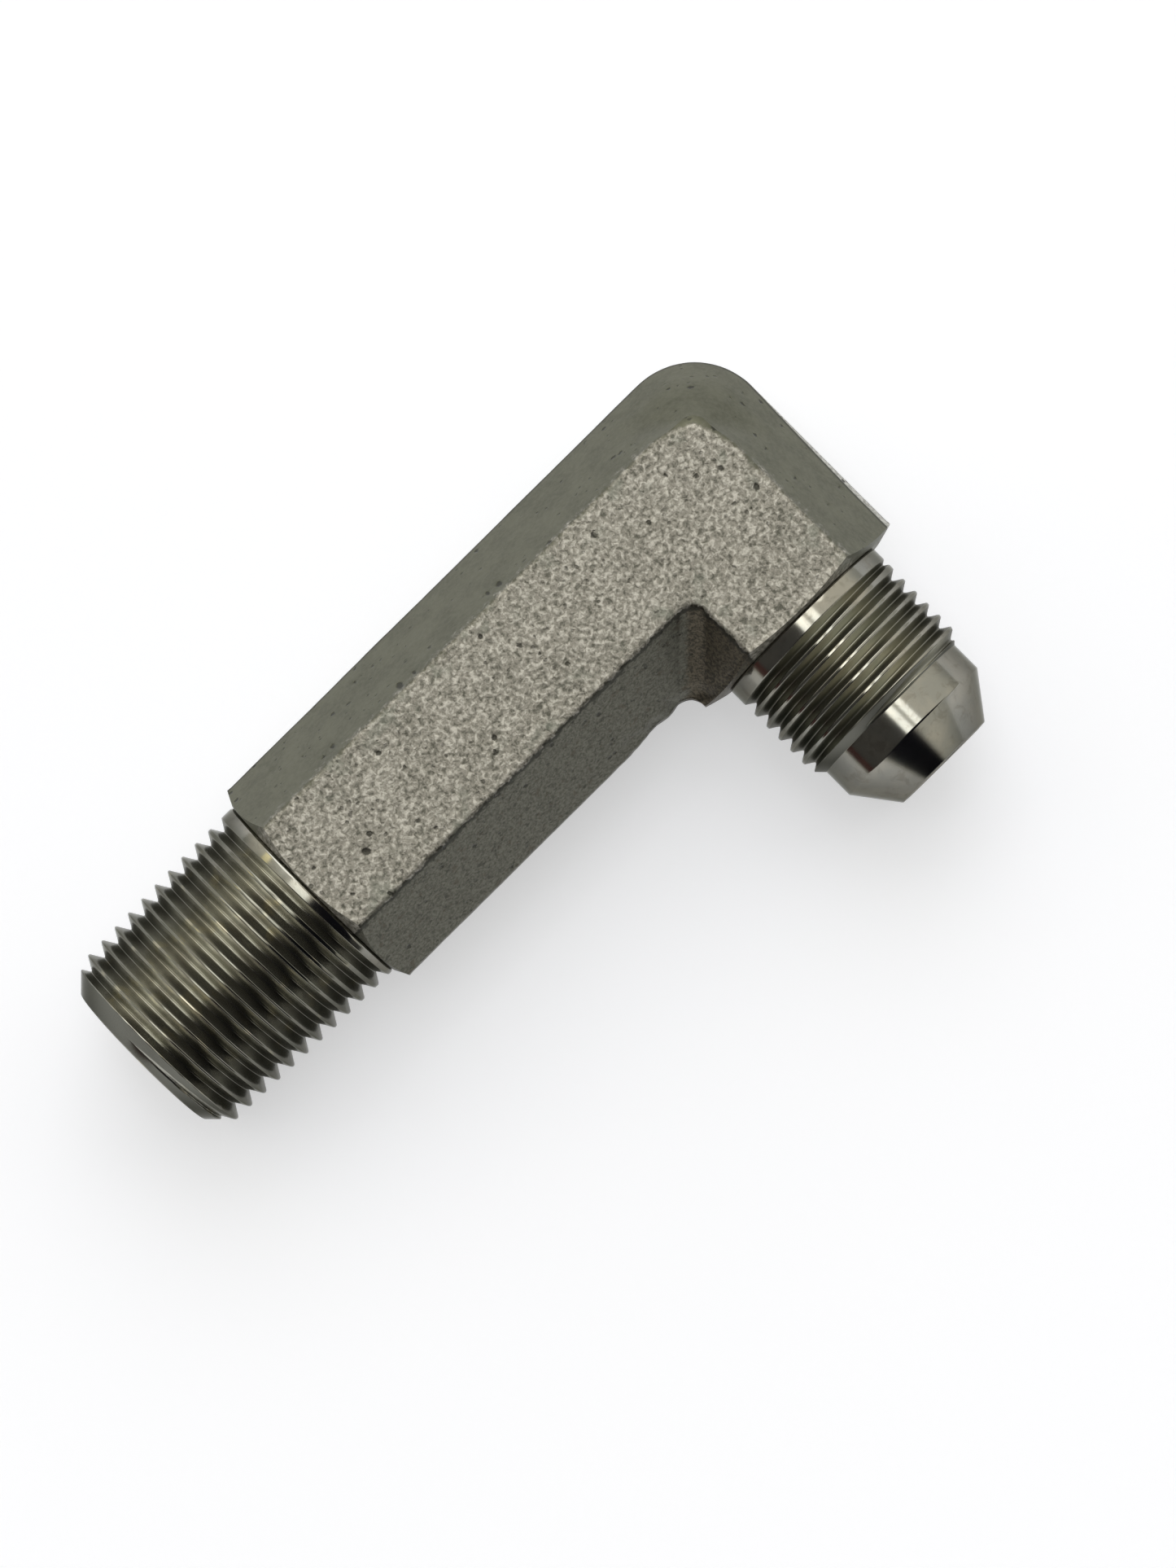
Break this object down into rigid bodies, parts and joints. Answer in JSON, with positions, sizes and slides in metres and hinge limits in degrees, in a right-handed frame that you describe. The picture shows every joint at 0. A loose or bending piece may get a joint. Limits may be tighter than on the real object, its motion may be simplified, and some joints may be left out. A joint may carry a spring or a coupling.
{
  "type": "hydraulic elbow adapter",
  "caption": "Extra long 90 degree elbow adapter in forged steel, with a tapered pipe thread on the long leg and a 37 degree flare with straight thread on the short leg.",
  "frame": {"origin": "where the axis of the long bore crosses the axis of the flare bore", "axes": "+X out of the pipe-thread end, +Y out of the flare end, +Z square to the wrench flats"},
  "size_m": [0.0854, 0.0457, 0.0222],
  "materials": {
    "plated_steel": "forged and shot-blasted body, bright turned ends, thin zinc-nickel plating"
  },
  "bodies": {
    "root": {"elbow_body": "plated_steel"}
  },
  "joints": []
}
